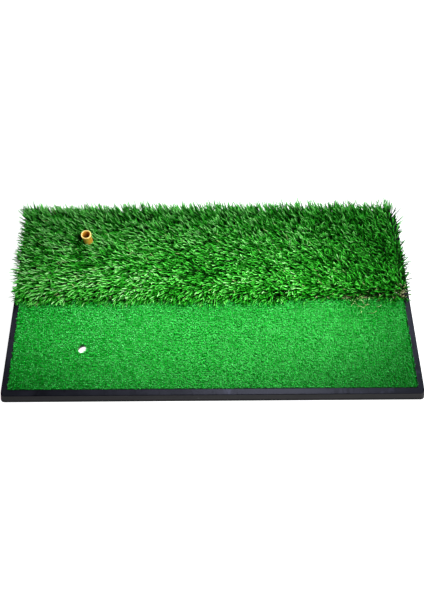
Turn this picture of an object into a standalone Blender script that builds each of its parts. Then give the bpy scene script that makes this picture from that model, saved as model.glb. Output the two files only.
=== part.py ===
"""Golf hitting mat: a moulded rubber tray with a strip of short turf in front and a strip of long turf behind,
each built up from its own layers, and a hollow rubber tee that goes in from underneath.

+X runs along the mat, +Y from the player's side to the back, +Z up. The origin is on the floor, in the middle
of the whole mat with the blades that lean over its back edge.
"""
import math

import bmesh
import bpy
from mathutils import Vector

# Driving dimensions, in metres.
GAP = 0.0003
BASE_WIDTH = 0.610
BASE_DEPTH = 0.305
BASE_HEIGHT = 0.017
BASE_DRAFT = 0.0045
BASE_CORNER = 0.006
BASE_EDGE = 0.0008
RIM_WIDTH = 0.0085
FLOOR_HEIGHT = 0.0065
POCKET_CORNER = 0.003
SEAM_FROM_MIDDLE = 0.002

ADHESIVE_THICKNESS = 0.0006
LATEX_THICKNESS = 0.0009
BACKING_THICKNESS = 0.0007
THATCH_HEIGHT = 0.0060
SHORT_PILE_TOP = 0.0185
LONG_PILE_TOP = 0.040
BACK_OVERHANG = 0.008
FRONT_OVERHANG = 0.007
LONG_PILE_HALF_WIDTH = 0.303
LONG_PILE_EDGE = 0.004

TEE_HOLE_X = -0.1935
SPARE_HOLE_X = -0.1910
TEE_HOLE_FROM_MIDDLE = 0.097
SPARE_HOLE_FROM_MIDDLE = -0.078
BASE_HOLE_RADIUS = 0.0086
SPARE_TURF_HOLE_RADIUS = 0.0075
RECESS_RADIUS = 0.0184
RECESS_DEPTH = 0.0029

TEE_TOP = 0.050
TEE_LIP_RADIUS = 0.0080
TEE_LIP_HEIGHT = 0.0035
TEE_NECK_RADIUS = 0.0070
TEE_FOOT_RADIUS = 0.0078
TEE_BORE_RADIUS = 0.0050
TEE_CUP_RADIUS = 0.0054
TEE_FLANGE_RADIUS = 0.0180
TEE_FLANGE_THICKNESS = 0.0022
TEE_STAND_OFF = 0.0004
TEE_EDGE = 0.0007

GROOVE_WIDTH = 0.0030
GROOVE_DEPTH = 0.0010
GROOVE_PITCH = 0.050
GROOVE_MARGIN = 0.014

# Places worked out from the dimensions.
BASE_Y = -BACK_OVERHANG / 2
SEAM_Y = BASE_Y + SEAM_FROM_MIDDLE
TEE_HOLE = (TEE_HOLE_X, BASE_Y + TEE_HOLE_FROM_MIDDLE)
SPARE_HOLE = (SPARE_HOLE_X, BASE_Y + SPARE_HOLE_FROM_MIDDLE)
POCKET_X = BASE_WIDTH / 2 - BASE_DRAFT - RIM_WIDTH
POCKET_FRONT = BASE_Y - BASE_DEPTH / 2 + BASE_DRAFT + RIM_WIDTH
POCKET_BACK = BASE_Y + BASE_DEPTH / 2 - BASE_DRAFT - RIM_WIDTH
CUT_PAST = 0.004
ROUND_SIDES = 32

PART_COLLECTION = "golf_hitting_mat"
CUTTER_COLLECTION = "cutters"


def clear_scene():
    for old in list(bpy.data.objects):
        bpy.data.objects.remove(old, do_unlink=True)


def new_collection(name):
    collection = bpy.data.collections.new(name)
    bpy.context.scene.collection.children.link(collection)
    return collection


def make_material(name, colour, roughness):
    """A Principled material with the colour and roughness of one kind of stuff; nothing here is metal."""
    material = bpy.data.materials.new(name)
    material.use_nodes = True
    shader = material.node_tree.nodes["Principled BSDF"]
    shader.inputs["Base Color"].default_value = (*colour, 1.0)
    shader.inputs["Roughness"].default_value = roughness
    shader.inputs["Metallic"].default_value = 0.0
    material.diffuse_color = (*colour, 1.0)
    return material


def add_object(name, mesh, collection, material=None, location=(0.0, 0.0, 0.0)):
    piece = bpy.data.objects.new(name, mesh)
    piece.location = location
    collection.objects.link(piece)
    if material:
        mesh.materials.append(material)
    return piece


def block_mesh(name, size, corner=0.0, ends=(-1, 1), top_inset=0.0):
    """A box about its own middle. The upright edges at the given Y ends are rounded to the corner radius,
    and the top is drawn in all round by top_inset, as a moulded side is."""
    mesh = bpy.data.meshes.new(name)
    bm = bmesh.new()
    bmesh.ops.create_cube(bm, size=1.0)
    for vert in bm.verts:
        vert.co = Vector(c * s for c, s in zip(vert.co, size))
    if corner > 0.0:
        uprights = []
        for edge in bm.edges:
            a, b = edge.verts
            if abs(a.co.z - b.co.z) > size[2] / 2 and math.copysign(1, a.co.y) in ends:
                uprights.append(edge)
        bmesh.ops.bevel(bm, geom=uprights, offset=corner, segments=4, profile=0.5, affect="EDGES")
    for vert in bm.verts:
        if vert.co.z > 0.0:
            vert.co.x -= math.copysign(top_inset, vert.co.x)
            vert.co.y -= math.copysign(top_inset, vert.co.y)
    bm.to_mesh(mesh)
    bm.free()
    return mesh


def add_block(name, low, high, collection, material=None, **shape):
    """A block from its lowest to its highest corner, with its origin at its middle."""
    low, high = Vector(low), Vector(high)
    mesh = block_mesh(name, high - low, **shape)
    return add_object(name, mesh, collection, material, (low + high) / 2)


def hide_cutter(cutter):
    cutter.hide_render = True
    cutter.display_type = "WIRE"
    return cutter


def cylinder_cutter(name, place, radius, z_low, z_high):
    mesh = bpy.data.meshes.new(name)
    bm = bmesh.new()
    bmesh.ops.create_cone(
        bm, cap_ends=True, segments=ROUND_SIDES, radius1=radius, radius2=radius, depth=z_high - z_low
    )
    bm.to_mesh(mesh)
    bm.free()
    middle = (place[0], place[1], (z_low + z_high) / 2)
    return hide_cutter(add_object(name, mesh, cutters, location=middle))


def boolean(piece, cutter, operation="DIFFERENCE"):
    modifier = piece.modifiers.new(cutter.name, "BOOLEAN")
    modifier.operation = operation
    modifier.solver = "EXACT"
    modifier.object = cutter


def round_edges(piece, width, segments=2):
    modifier = piece.modifiers.new("rounded_edges", "BEVEL")
    modifier.width = width
    modifier.segments = segments
    modifier.limit_method = "ANGLE"
    modifier.angle_limit = math.radians(40)


def groove_cutter(name, along, across_places, half_length, middle_along):
    """Parallel bars that cut the tread under the base; along is 0 for bars that run on X and 1 for Y."""
    mesh = bpy.data.meshes.new(name)
    bm = bmesh.new()
    for place in across_places:
        made = bmesh.ops.create_cube(bm, size=1.0)
        for vert in made["verts"]:
            corner = [0.0, 0.0, vert.co.z * 2 * GROOVE_DEPTH]
            corner[along] = vert.co[along] * 2 * half_length + middle_along
            corner[1 - along] = vert.co[1 - along] * GROOVE_WIDTH + place
            vert.co = corner
    bm.to_mesh(mesh)
    bm.free()
    return hide_cutter(add_object(name, mesh, cutters))


def centred_steps(reach, pitch):
    """Places a pitch apart, as many as fit within reach of the middle on either side."""
    count = int(2 * reach // pitch) + 1
    return [(i - (count - 1) / 2) * pitch for i in range(count)]


def make_base(material):
    """The moulded tray: a drafted block with a pocket for the turf, two through holes with a wide recess
    under each for the tee's flange, and a grid of shallow grooves as tread."""
    half_depth = BASE_DEPTH / 2
    low = (-BASE_WIDTH / 2, BASE_Y - half_depth, 0.0)
    high = (BASE_WIDTH / 2, BASE_Y + half_depth, BASE_HEIGHT)
    base = add_block("rubber_base", low, high, parts, material, corner=BASE_CORNER, top_inset=BASE_DRAFT)
    round_edges(base, BASE_EDGE)

    pocket_low = (-POCKET_X, POCKET_FRONT, FLOOR_HEIGHT)
    pocket_high = (POCKET_X, POCKET_BACK, BASE_HEIGHT + CUT_PAST)
    pocket = add_block("pocket_cutter", pocket_low, pocket_high, cutters, corner=POCKET_CORNER)
    boolean(base, hide_cutter(pocket))

    groove_x = BASE_WIDTH / 2 - GROOVE_MARGIN
    groove_y = half_depth - GROOVE_MARGIN
    rows = [BASE_Y + y for y in centred_steps(groove_y, GROOVE_PITCH)]
    columns = centred_steps(groove_x, GROOVE_PITCH)
    boolean(base, groove_cutter("long_groove_cutter", 0, rows, groove_x, 0.0))
    boolean(base, groove_cutter("cross_groove_cutter", 1, columns, groove_y, BASE_Y))

    for label, place in (("tee", TEE_HOLE), ("spare", SPARE_HOLE)):
        recess = cylinder_cutter(f"{label}_recess_cutter", place, RECESS_RADIUS, -CUT_PAST, RECESS_DEPTH)
        hole = cylinder_cutter(f"{label}_hole_cutter", place, BASE_HOLE_RADIUS, -CUT_PAST, BASE_HEIGHT)
        boolean(base, recess)
        boolean(base, hole)
    return base


def make_layer(name, strip, z_low, z_high, material):
    """One flat layer of a turf strip, cut to the pocket with a gap at each neighbour and a hole punched."""
    low = (-POCKET_X + GAP, strip["front"], z_low)
    high = (POCKET_X - GAP, strip["back"], z_high)
    layer = add_block(name, low, high, parts, material, corner=POCKET_CORNER, ends=(strip["outer_end"],))
    boolean(layer, strip["punch"])
    return layer


def make_turf_bed(prefix, strip, materials):
    """Adhesive, latex coat and woven backing, stacked from the floor of the tray. Returns the next free height."""
    height = FLOOR_HEIGHT + GAP
    layers = (
        ("adhesive", ADHESIVE_THICKNESS),
        ("latex_coat", LATEX_THICKNESS),
        ("primary_backing", BACKING_THICKNESS),
    )
    for label, thickness in layers:
        make_layer(f"{prefix}_{label}", strip, height, height + thickness, materials[label])
        height += thickness + GAP
    return height


def make_short_turf(materials):
    punch = cylinder_cutter(
        "spare_punch", SPARE_HOLE, SPARE_TURF_HOLE_RADIUS, 0.0, SHORT_PILE_TOP + CUT_PAST
    )
    strip = {"front": POCKET_FRONT + GAP, "back": SEAM_Y - GAP / 2, "outer_end": -1, "punch": punch}
    height = make_turf_bed("short_turf", strip, materials)
    make_layer("short_turf_pile", strip, height, SHORT_PILE_TOP, materials["short_pile"])


def make_long_turf(materials):
    """The long strip: its bed, the curly thatch at the roots, and the standing blades, which fill the pocket
    up to the rim and spread over it, over the back edge and over the seam above that."""
    punch = cylinder_cutter("tee_punch", TEE_HOLE, BASE_HOLE_RADIUS, 0.0, LONG_PILE_TOP + CUT_PAST)
    strip = {"front": SEAM_Y + GAP / 2, "back": POCKET_BACK - GAP, "outer_end": 1, "punch": punch}
    height = make_turf_bed("long_turf", strip, materials)
    thatch_top = height + THATCH_HEIGHT
    make_layer("long_turf_thatch", strip, height, thatch_top, materials["thatch"])

    roots_low = (-POCKET_X + GAP, strip["front"], thatch_top + GAP)
    spread_height = SHORT_PILE_TOP + GAP
    roots_high = (POCKET_X - GAP, strip["back"], spread_height + CUT_PAST)
    pile = add_block(
        "long_turf_pile", roots_low, roots_high, parts, materials["long_pile"], corner=POCKET_CORNER, ends=(1,)
    )
    spread_low = (-LONG_PILE_HALF_WIDTH, SEAM_Y - FRONT_OVERHANG, spread_height)
    spread_back = BASE_Y + BASE_DEPTH / 2 + BACK_OVERHANG
    spread_high = (LONG_PILE_HALF_WIDTH, spread_back, LONG_PILE_TOP)
    spread = add_block("blade_spread", spread_low, spread_high, cutters, corner=BASE_CORNER)
    round_edges(spread, LONG_PILE_EDGE, segments=3)
    boolean(pile, hide_cutter(spread), "UNION")
    boolean(pile, punch)
    return pile


def tee_profile():
    """Half of the tee's section: down the outside from the lip to the flange, then up the bore to the cup."""
    flange_low = TEE_STAND_OFF
    flange_high = flange_low + TEE_FLANGE_THICKNESS
    neck_high = TEE_TOP - 2.4 * TEE_LIP_HEIGHT
    return [
        (TEE_CUP_RADIUS + TEE_EDGE, TEE_TOP),
        (TEE_LIP_RADIUS - TEE_EDGE, TEE_TOP),
        (TEE_LIP_RADIUS, TEE_TOP - TEE_EDGE),
        (TEE_LIP_RADIUS, TEE_TOP - TEE_LIP_HEIGHT),
        (TEE_NECK_RADIUS, neck_high),
        (TEE_FOOT_RADIUS, flange_high + TEE_EDGE),
        (TEE_FOOT_RADIUS + TEE_EDGE / 2, flange_high),
        (TEE_FLANGE_RADIUS - TEE_EDGE, flange_high),
        (TEE_FLANGE_RADIUS, flange_high - TEE_EDGE),
        (TEE_FLANGE_RADIUS, flange_low),
        (TEE_BORE_RADIUS, flange_low),
        (TEE_BORE_RADIUS, neck_high),
        (TEE_CUP_RADIUS, TEE_TOP - TEE_LIP_HEIGHT),
        (TEE_CUP_RADIUS, TEE_TOP - TEE_EDGE),
    ]


def make_tee(material):
    """The hollow tee, turned about its own axis, which is also the axis that it pulls out along."""
    profile = tee_profile()
    mesh = bpy.data.meshes.new("rubber_tee")
    verts = [(radius, 0.0, height) for radius, height in profile]
    edges = [(i, (i + 1) % len(profile)) for i in range(len(profile))]
    mesh.from_pydata(verts, edges, [])
    tee = add_object("rubber_tee", mesh, parts, material, (*TEE_HOLE, 0.0))
    screw = tee.modifiers.new("turned", "SCREW")
    screw.axis = "Z"
    screw.angle = 2 * math.pi
    screw.steps = ROUND_SIDES
    screw.render_steps = ROUND_SIDES
    screw.use_merge_vertices = True
    screw.merge_threshold = 0.0001
    screw.use_smooth_shade = True
    return tee


def make_materials():
    return {
        "rubber": make_material("black_rubber", (0.022, 0.023, 0.027), 0.55),
        "adhesive": make_material("hot_melt_adhesive", (0.62, 0.55, 0.38), 0.45),
        "latex_coat": make_material("grey_latex", (0.16, 0.17, 0.18), 0.65),
        "primary_backing": make_material("woven_backing", (0.030, 0.034, 0.032), 0.75),
        "short_pile": make_material("short_green_yarn", (0.035, 0.37, 0.055), 0.60),
        "thatch": make_material("tan_thatch_yarn", (0.36, 0.27, 0.12), 0.70),
        "long_pile": make_material("long_green_blades", (0.030, 0.20, 0.022), 0.45),
        "tee": make_material("orange_rubber", (0.76, 0.40, 0.10), 0.45),
    }


clear_scene()
parts = new_collection(PART_COLLECTION)
cutters = new_collection(CUTTER_COLLECTION)
all_materials = make_materials()
make_base(all_materials["rubber"])
make_short_turf(all_materials)
make_long_turf(all_materials)
make_tee(all_materials["tee"])
bpy.context.view_layer.update()
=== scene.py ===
"""Looks of the golf hitting mat: blades, thatch and short yarn as real strands, worked rubber and woven
backings."""

import math

import bmesh
import bpy
import numpy as np
from mathutils import Matrix, Vector


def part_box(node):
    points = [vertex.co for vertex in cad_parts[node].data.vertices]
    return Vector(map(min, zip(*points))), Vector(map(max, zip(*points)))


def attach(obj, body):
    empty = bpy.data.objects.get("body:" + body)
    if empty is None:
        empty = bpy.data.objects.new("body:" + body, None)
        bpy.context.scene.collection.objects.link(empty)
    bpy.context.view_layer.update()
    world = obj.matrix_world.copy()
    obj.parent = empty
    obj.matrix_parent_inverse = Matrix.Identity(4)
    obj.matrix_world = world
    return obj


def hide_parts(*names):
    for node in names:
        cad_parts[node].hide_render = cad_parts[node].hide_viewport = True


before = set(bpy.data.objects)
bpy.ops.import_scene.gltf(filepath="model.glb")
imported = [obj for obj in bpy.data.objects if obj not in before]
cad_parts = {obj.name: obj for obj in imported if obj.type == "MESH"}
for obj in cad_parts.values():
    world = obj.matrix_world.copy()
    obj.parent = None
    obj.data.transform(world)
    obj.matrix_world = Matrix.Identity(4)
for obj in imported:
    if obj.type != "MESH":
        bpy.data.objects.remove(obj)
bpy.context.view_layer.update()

# ---------------------------------------------------------------- places, read from the frame
base_low, base_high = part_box("rubber_base")
short_low, short_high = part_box("short_turf_pile")
thatch_low, thatch_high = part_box("long_turf_thatch")
tee_low, tee_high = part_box("rubber_tee")

SPARE_HOLE_PAST_TEE = 0.0025
SPARE_HOLE_FROM_MIDDLE = 0.078
BASE_MIDDLE_Y = (base_low.y + base_high.y) / 2
RIM_TOP = base_high.z
SEAM_Y = thatch_low.y
TEE_X = (tee_low.x + tee_high.x) / 2
TEE_Y = (tee_low.y + tee_high.y) / 2
SPARE_X = TEE_X + SPARE_HOLE_PAST_TEE
SPARE_Y = BASE_MIDDLE_Y - SPARE_HOLE_FROM_MIDDLE
ROOT_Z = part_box("long_turf_primary_backing")[1].z
SHORT_TOP = short_high.z

BLACK = (0.0, 0.0, 0.0)
WHITE = (1.0, 1.0, 1.0)

# ---------------------------------------------------------------- small helpers


def principled(name, roughness):
    """A new material and its nodes, links and shader."""
    material = bpy.data.materials.new(name)
    material.use_nodes = True
    tree = material.node_tree
    shader = tree.nodes["Principled BSDF"]
    shader.inputs["Roughness"].default_value = roughness
    return material, tree.nodes, tree.links, shader


def add_node(nodes, kind, **values):
    """A shader node with its settings and inputs given by name."""
    node = nodes.new(kind)
    for key, value in values.items():
        if hasattr(node, key):
            setattr(node, key, value)
        else:
            node.inputs[key.replace("_", " ")].default_value = value
    return node


def ramp(nodes, links, factor, stops):
    """A colour ramp fed by factor; stops are (place, colour) pairs."""
    node = nodes.new("ShaderNodeValToRGB")
    elements = node.color_ramp.elements
    while len(elements) < len(stops):
        elements.new(0.5)
    for element, (place, colour) in zip(elements, stops):
        element.position = place
        element.color = (*colour, 1.0)
    links.new(factor, node.inputs["Fac"])
    return node.outputs["Color"]


def mix(nodes, links, factor, a, b, blend_type="MIX"):
    """A colour mix; factor, a and b are sockets or plain values."""
    node = nodes.new("ShaderNodeMix")
    node.data_type = "RGBA"
    node.blend_type = blend_type
    for index, value in ((0, factor), (6, a), (7, b)):
        socket = node.inputs[index]
        if isinstance(value, bpy.types.NodeSocket):
            links.new(value, socket)
        elif index == 0:
            socket.default_value = value
        else:
            socket.default_value = (*value, 1.0)
    return node.outputs[2]


def noise(nodes, links, place, scale, detail, roughness=0.5):
    """Fractal noise at a place, around 0.5."""
    node = add_node(nodes, "ShaderNodeTexNoise", Scale=scale, Detail=detail, Roughness=roughness)
    links.new(place, node.inputs["Vector"])
    return node.outputs["Fac"]


def map_range(nodes, links, value, start, end, to_start=0.0, to_end=1.0):
    """A value that goes from to_start to to_end as the given one goes from start to end."""
    node = add_node(
        nodes, "ShaderNodeMapRange", From_Min=start, From_Max=end, To_Min=to_start, To_Max=to_end
    )
    links.new(value, node.inputs["Value"])
    return node.outputs["Result"]


def scaled(nodes, links, place, scale, location=(0.0, 0.0, 0.0)):
    """A place that is scaled and then moved."""
    node = add_node(nodes, "ShaderNodeMapping", Location=location, Scale=scale)
    links.new(place, node.inputs["Vector"])
    return node.outputs["Vector"]


def split(nodes, links, vector):
    """The X, Y and Z of a vector, by name."""
    node = nodes.new("ShaderNodeSeparateXYZ")
    links.new(vector, node.inputs["Vector"])
    return node.outputs


def drift(rng, x, y, wavelength, count=7):
    """A smooth wander over the mat, mostly between -1 and 1, made of a few crossed waves."""
    total = np.zeros_like(x)
    for _ in range(count):
        turn = rng.uniform(0, 2 * np.pi)
        wave = 2 * np.pi / (wavelength * rng.uniform(0.7, 1.5))
        total += np.sin(wave * (x * np.cos(turn) + y * np.sin(turn)) + rng.uniform(0, 2 * np.pi))
    return total / math.sqrt(count)


def near(distance, reach):
    """1 at an edge, fading away over reach."""
    return np.exp(-np.maximum(distance, 0) / reach)


def patch(x, y, place, size):
    """1 in the middle of a patch, fading away over its size."""
    return np.exp(-(((x - place[0]) / size[0]) ** 2) - ((y - place[1]) / size[1]) ** 2)


def unit(vectors):
    """The vectors at length 1."""
    return vectors / np.maximum(np.linalg.norm(vectors, axis=-1, keepdims=True), 1e-9)


def link(piece):
    """Puts an object into the scene."""
    bpy.context.scene.collection.objects.link(piece)
    return piece


def mesh_object(name, verts, face_sets, material, attributes=None):
    """A smooth mesh object from arrays: verts (n, 3), and face_sets a list of (m, k) corner arrays."""
    mesh = bpy.data.meshes.new(name)
    mesh.vertices.add(len(verts))
    mesh.vertices.foreach_set("co", np.asarray(verts, np.float32).ravel())
    corners = np.concatenate([faces.ravel() for faces in face_sets]).astype(np.int32)
    sizes = np.concatenate([np.full(len(faces), faces.shape[1], np.int32) for faces in face_sets])
    starts = np.concatenate([[0], np.cumsum(sizes)[:-1]]).astype(np.int32)
    mesh.loops.add(len(corners))
    mesh.loops.foreach_set("vertex_index", corners)
    mesh.polygons.add(len(sizes))
    mesh.polygons.foreach_set("loop_start", starts)
    for key, values in (attributes or {}).items():
        layer = mesh.attributes.new(key, "FLOAT", "POINT")
        layer.data.foreach_set("value", np.asarray(values, np.float32).ravel())
    mesh.update(calc_edges=True)
    mesh.validate()
    mesh.shade_smooth()
    mesh.materials.append(material)
    return link(bpy.data.objects.new(name, mesh))


def strands(name, paths, across, half_width, half_thickness, tint, material, sides=4, stations=None):
    """Closed tapered strands. paths (n, levels, 3) are their middle lines, across (n, levels, 3) their
    broad direction, and half_width (n, levels) and half_thickness (n, levels) their section. Every vertex
    carries the strand's tint and how far along the strand it lies, stations if they are given."""
    count, levels = paths.shape[:2]
    tangent = unit(np.gradient(paths, axis=1))
    across = unit(across - tangent * np.sum(across * tangent, -1, keepdims=True))
    normal = np.cross(tangent, across)
    turns = 2 * np.pi * np.arange(sides) / sides
    ring = (
        across[:, :, None] * (half_width[:, :, None] * np.cos(turns))[..., None]
        + normal[:, :, None] * (half_thickness[:, :, None] * np.sin(turns))[..., None]
    )
    verts = (paths[:, :, None] + ring).reshape(-1, 3)
    index = np.arange(count * levels * sides).reshape(count, levels, sides)
    low, high = index[:, :-1], index[:, 1:]
    walls = np.stack([low, np.roll(low, -1, 2), np.roll(high, -1, 2), high], -1).reshape(-1, 4)
    roots = index[:, 0, ::-1]
    tips = index[:, -1]
    if stations is None:
        stations = np.linspace(0, 1, levels)
    attributes = {
        "tint": np.repeat(tint, levels * sides),
        "along": np.tile(np.repeat(stations, sides), count),
    }
    return mesh_object(name, verts, [walls, roots, tips], material, attributes)


def show(piece, body, node):
    """The piece rides on its body and stands for the node, which is hidden."""
    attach(piece, body)
    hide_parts(node)


# ---------------------------------------------------------------- materials

# The bluish rim colours are a painted sheen and the lighter wall colours painted light; their clouds are
# real mottling.
RIM_SHADES = [(0.35, (0.0013, 0.0015, 0.0024)), (0.72, (0.0098, 0.0096, 0.0145))]
SMEAR_SHADE = (0.027, 0.028, 0.044)
SCUFF_SHADE = (0.001, 0.001, 0.002)
SCUFF_SCALE = (190.0, 45.0, 45.0)
WALL_SHADES = [(0.3, (0.0135, 0.0135, 0.0135)), (0.75, (0.030, 0.029, 0.028))]
EDGE_PAINTED_SHADE = (0.001, 0.001, 0.002)
END_WALL_PAINTED_SHADE = (0.003, 0.003, 0.004)
FOOT_PAINTED_SHADOW = (0.002, 0.002, 0.002)
FOOT_SHADOW_HEIGHTS = (0.0044, 0.0064)
RUBBER_ROUGHNESS = (0.36, 0.60)

TEE_SHADES = [(0.3, (0.60, 0.29, 0.022)), (0.7, (0.76, 0.39, 0.050))]
LIP_PAINTED_HIGHLIGHT = (0.68, 0.49, 0.15)
LIP_DEPTHS = (0.0011, 0.0002)
WELL_PAINTED_SHADE = (0.22, 0.065, 0.004)
WELL_RADII = (0.0067, 0.0060)
WELL_DEPTHS = (0.0020, 0.0100)


def strand_material(
    name, shades, painted_root_shade, roughness, streak, specular=0.5, glint=WHITE, fade=(0.05, 0.75)
):
    """Plastic yarn: each strand has its own shade and fine streaks, with painted shade towards the root."""
    material, nodes, links, shader = principled(name, roughness)
    shader.inputs["Specular IOR Level"].default_value = specular
    shader.inputs["Specular Tint"].default_value = (*glint, 1.0)
    tint = add_node(nodes, "ShaderNodeAttribute", attribute_name="tint")
    along = add_node(nodes, "ShaderNodeAttribute", attribute_name="along")
    colour = ramp(nodes, links, tint.outputs["Fac"], shades)
    place = nodes.new("ShaderNodeNewGeometry").outputs["Position"]
    streaks = noise(nodes, links, place, scale=streak, detail=2.0, roughness=0.6)
    speck = ramp(nodes, links, streaks, [(0.3, (0.62, 0.62, 0.62)), (0.7, (1.25, 1.25, 1.2))])
    colour = mix(nodes, links, 0.8, colour, speck, "MULTIPLY")
    # Painted shade: over the span that fade gives, the colour goes over to the dark root colour towards the
    # root.
    depth = map_range(nodes, links, along.outputs["Fac"], *fade, 1.0, 0.0)
    colour = mix(nodes, links, depth, colour, painted_root_shade)
    links.new(colour, shader.inputs["Base Color"])
    return material


def rubber_material():
    """Moulded black rubber: a dark rim with a faint bloom, smears, scuffs and a bluish painted sheen, walls
    in a lighter grey as painted light, painted shade on rounded edges and end walls, and a painted foot
    shadow."""
    material, nodes, links, shader = principled("moulded_black_rubber", 0.42)
    shader.inputs["Specular IOR Level"].default_value = 0.125
    shader.inputs["Specular Tint"].default_value = (0.78, 0.80, 1.0, 1.0)
    geometry = nodes.new("ShaderNodeNewGeometry")
    place = geometry.outputs["Position"]
    cloud = noise(nodes, links, place, scale=14.0, detail=5.0, roughness=0.65)
    top = ramp(nodes, links, cloud, RIM_SHADES)
    smear = noise(nodes, links, place, scale=26.0, detail=3.0, roughness=0.7)
    smeared = ramp(nodes, links, smear, [(0.60, BLACK), (0.72, (0.7, 0.7, 0.7))])
    top = mix(nodes, links, smeared, top, SMEAR_SHADE)
    scuff = noise(nodes, links, scaled(nodes, links, place, SCUFF_SCALE), scale=1.0, detail=1.0)
    scuffed = ramp(nodes, links, scuff, [(0.63, BLACK), (0.67, (0.9, 0.9, 0.9))])
    top = mix(nodes, links, scuffed, top, SCUFF_SHADE)
    # Painted light by facing: up faces take the dark bluish rim colour, a painted sheen, and walls a
    # lighter grey.
    wall = ramp(nodes, links, cloud, WALL_SHADES)
    facing = split(nodes, links, geometry.outputs["True Normal"])
    upward = ramp(nodes, links, facing["Z"], [(0.35, BLACK), (0.93, WHITE)])
    colour = mix(nodes, links, upward, wall, top)
    # Painted shade on the rounded edges, whose faces lean between up and sideways.
    edge = ramp(nodes, links, facing["Z"], [(0.32, BLACK), (0.45, WHITE), (0.88, WHITE), (0.97, BLACK)])
    colour = mix(nodes, links, edge, colour, EDGE_PAINTED_SHADE)
    # Painted shade on the end walls, which face along X, away from the light.
    sideways = add_node(nodes, "ShaderNodeMath", operation="ABSOLUTE")
    links.new(facing["X"], sideways.inputs[0])
    shaded = ramp(nodes, links, sideways.outputs["Value"], [(0.45, BLACK), (0.8, (0.8, 0.8, 0.8))])
    colour = mix(nodes, links, shaded, colour, END_WALL_PAINTED_SHADE)
    # Painted contact shadow: darker towards the bottom of the walls, along the floor.
    foot_shadow = map_range(nodes, links, split(nodes, links, place)["Z"], *FOOT_SHADOW_HEIGHTS, 1.0, 0.0)
    colour = mix(nodes, links, foot_shadow, colour, FOOT_PAINTED_SHADOW)
    links.new(colour, shader.inputs["Base Color"])
    bump = add_node(nodes, "ShaderNodeBump", Strength=0.25, Distance=0.00015)
    grain = noise(nodes, links, place, scale=2400.0, detail=2.0)
    links.new(grain, bump.inputs["Height"])
    links.new(bump.outputs["Normal"], shader.inputs["Normal"])
    rough = map_range(nodes, links, cloud, 0.0, 1.0, *RUBBER_ROUGHNESS)
    links.new(rough, shader.inputs["Roughness"])
    return material


def tee_material():
    """Soft orange rubber that lets a little light through: faint mottling, a painted highlight on the lip
    and painted shade in the bore.
    """
    material, nodes, links, shader = principled("orange_rubber", 0.38)
    shader.inputs["Subsurface Weight"].default_value = 0.10
    shader.inputs["Subsurface Radius"].default_value = (0.0016, 0.0007, 0.0002)
    shader.inputs["Subsurface Scale"].default_value = 1.0
    place = nodes.new("ShaderNodeTexCoord").outputs["Object"]
    mottle = noise(nodes, links, place, scale=260.0, detail=4.0)
    colour = ramp(nodes, links, mottle, TEE_SHADES)
    height = split(nodes, links, place)["Z"]
    # Painted highlight: the rounded lip is paler, where it catches the light.
    lip = map_range(nodes, links, height, *(tee_high.z - depth for depth in LIP_DEPTHS))
    colour = mix(nodes, links, lip, colour, LIP_PAINTED_HIGHLIGHT)
    from_axis = scaled(nodes, links, place, (1.0, 1.0, 0.0), (-TEE_X, -TEE_Y, 0.0))
    radius = add_node(nodes, "ShaderNodeVectorMath", operation="LENGTH")
    links.new(from_axis, radius.inputs[0])
    # Painted shade: inside the bore the colour darkens with depth.
    inside = map_range(nodes, links, radius.outputs["Value"], *WELL_RADII)
    deep = map_range(nodes, links, height, *(tee_high.z - depth for depth in WELL_DEPTHS))
    well = add_node(nodes, "ShaderNodeMath", operation="MULTIPLY")
    links.new(inside, well.inputs[0])
    links.new(deep, well.inputs[1])
    colour = mix(nodes, links, well.outputs["Value"], colour, WELL_PAINTED_SHADE)
    links.new(colour, shader.inputs["Base Color"])
    return material


def weave_material(name, dark, light, thread):
    """Plain weave of flat tapes, thread wide."""
    material, nodes, links, shader = principled(name, 0.6)
    place = nodes.new("ShaderNodeNewGeometry").outputs["Position"]
    threads = scaled(nodes, links, place, (1 / thread, 1 / thread, 1 / thread))
    checker = add_node(
        nodes, "ShaderNodeTexChecker", Scale=1.0, Color1=(*dark, 1.0), Color2=(*light, 1.0)
    )
    links.new(threads, checker.inputs["Vector"])
    links.new(checker.outputs["Color"], shader.inputs["Base Color"])
    return material


def cloudy_material(name, dark, light, scale, roughness):
    """A film or coat with a cloudy colour."""
    material, nodes, links, shader = principled(name, roughness)
    place = nodes.new("ShaderNodeNewGeometry").outputs["Position"]
    clouds = noise(nodes, links, place, scale, detail=4.0)
    colour = ramp(nodes, links, clouds, [(0.35, dark), (0.7, light)])
    links.new(colour, shader.inputs["Base Color"])
    return material


# ---------------------------------------------------------------- long turf

BLADE_SEED = 11
BLADE_LENGTH = 0.031
BRIGHT_LENGTHS = (0.92, 1.14)
DULL_LENGTHS = (0.78, 1.02)
BLADE_STATIONS = np.array([0.0, 0.40, 0.55, 0.67, 0.82, 1.0])
BLADE_KNEE = (0.34, 0.72)
BACK_ROWS_REACH = 0.010
FRONT_ROWS_REACH = 0.005
LONGER_AT_BACK = 0.40
SHORTER_AT_FRONT = 0.30
SHORTER_AT_BACK_LEFT = 0.08
TOP_STRENGTH = 1.1
BLADE_TAPER = ([0, 0.5, 0.85, 1.0], [0.8, 1.0, 1.0, 0.50])
BLADE_HALF_WIDTH = 0.00080
BLADE_WIDTHS = (0.65, 1.2)
BLADE_HALF_THICKNESS = 0.00022
BLADE_TWIST = 0.9
BLADE_GAP = 0.0003
STRIP_MARGIN = 0.001
FRONT_MARGIN = 0.0008
STITCH_STEP = 0.0053
STITCH_WANDER = 0.0012
EDGE_ROW_DEPTH = 0.004
EDGE_ROW_STEP = 0.002
EDGE_ROW_WANDER = 0.0008
BLADES_PER_STITCH = 7
TUFT_SPREAD = 0.0013
TUFT_LEAN_SPREAD = 0.12
BLADE_LEAN_SPREAD = 0.32
TEE_CLEAR = 0.0095
TEE_RING = 0.0088
BLADE_SECTIONS = 6

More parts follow.
